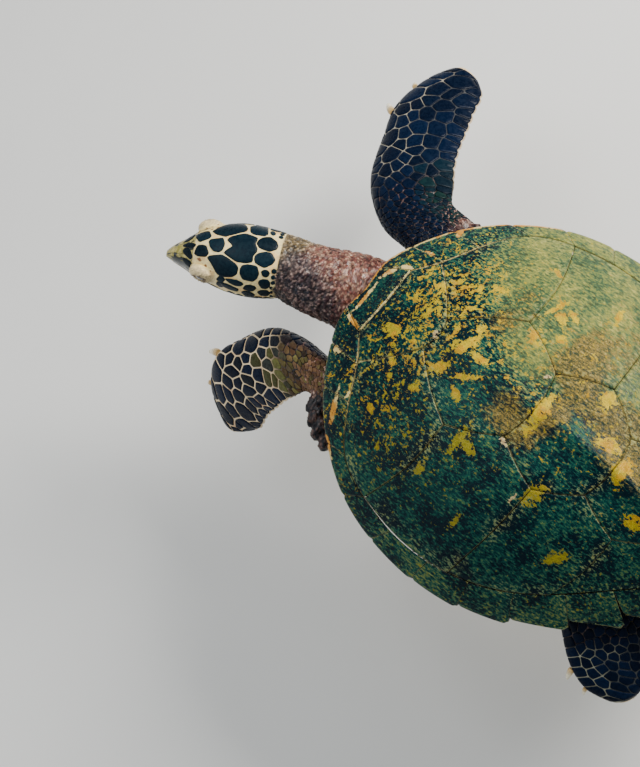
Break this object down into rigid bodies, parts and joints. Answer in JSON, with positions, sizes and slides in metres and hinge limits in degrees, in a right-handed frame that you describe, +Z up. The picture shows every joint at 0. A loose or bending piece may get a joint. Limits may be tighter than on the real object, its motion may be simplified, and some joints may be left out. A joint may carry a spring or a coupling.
{
  "type": "hawksbill sea turtle model",
  "caption": "Life-size swimming sea turtle with a scute-plated shell, long front flippers and a hooked beak, held up by a flat oval display stand.",
  "frame": {"origin": "centre of the underside of the stand's base", "axes": "+Z up; the head points towards -Y and the turtle's left is +X"},
  "size_m": [0.6074, 0.9075, 0.4849],
  "materials": {
    "shell_horn": "satin horn",
    "plastron_horn": "satin horn",
    "scaly_skin": "scaled, satin",
    "beak_horn": "satin horn",
    "claw_horn": "satin horn",
    "eye": "wet gloss",
    "stand_steel": "powder coat, satin"
  },
  "bodies": {
    "root": {"nuchal": "shell_horn", "vertebral_1": "shell_horn", "vertebral_2": "shell_horn", "vertebral_3": "shell_horn", "vertebral_4": "shell_horn", "vertebral_5": "shell_horn", "costal_left_1": "shell_horn", "costal_left_2": "shell_horn", "costal_left_3": "shell_horn", "costal_left_4": "shell_horn", "costal_right_1": "shell_horn", "costal_right_2": "shell_horn", "costal_right_3": "shell_horn", "costal_right_4": "shell_horn", "marginals_left": "shell_horn", "marginals_right": "shell_horn", "plastron": "plastron_horn", "trunk": "scaly_skin", "neck": "scaly_skin", "head": "scaly_skin", "tail": "scaly_skin", "upper_arm_left": "scaly_skin", "front_blade_left": "scaly_skin", "thigh_left": "scaly_skin", "hind_blade_left": "scaly_skin", "upper_arm_right": "scaly_skin", "front_blade_right": "scaly_skin", "thigh_right": "scaly_skin", "hind_blade_right": "scaly_skin", "upper_beak": "beak_horn", "lower_beak": "beak_horn", "front_claw_left_1": "claw_horn", "front_claw_left_2": "claw_horn", "front_claw_right_1": "claw_horn", "front_claw_right_2": "claw_horn", "hind_claw_left_1": "claw_horn", "hind_claw_left_2": "claw_horn", "hind_claw_right_1": "claw_horn", "hind_claw_right_2": "claw_horn", "eye_left": "eye", "eye_right": "eye", "stand_base": "stand_steel", "stand_rod_front": "stand_steel", "stand_rod_rear": "stand_steel", "stand_pad_front": "stand_steel", "stand_pad_rear": "stand_steel"}
  },
  "joints": []
}
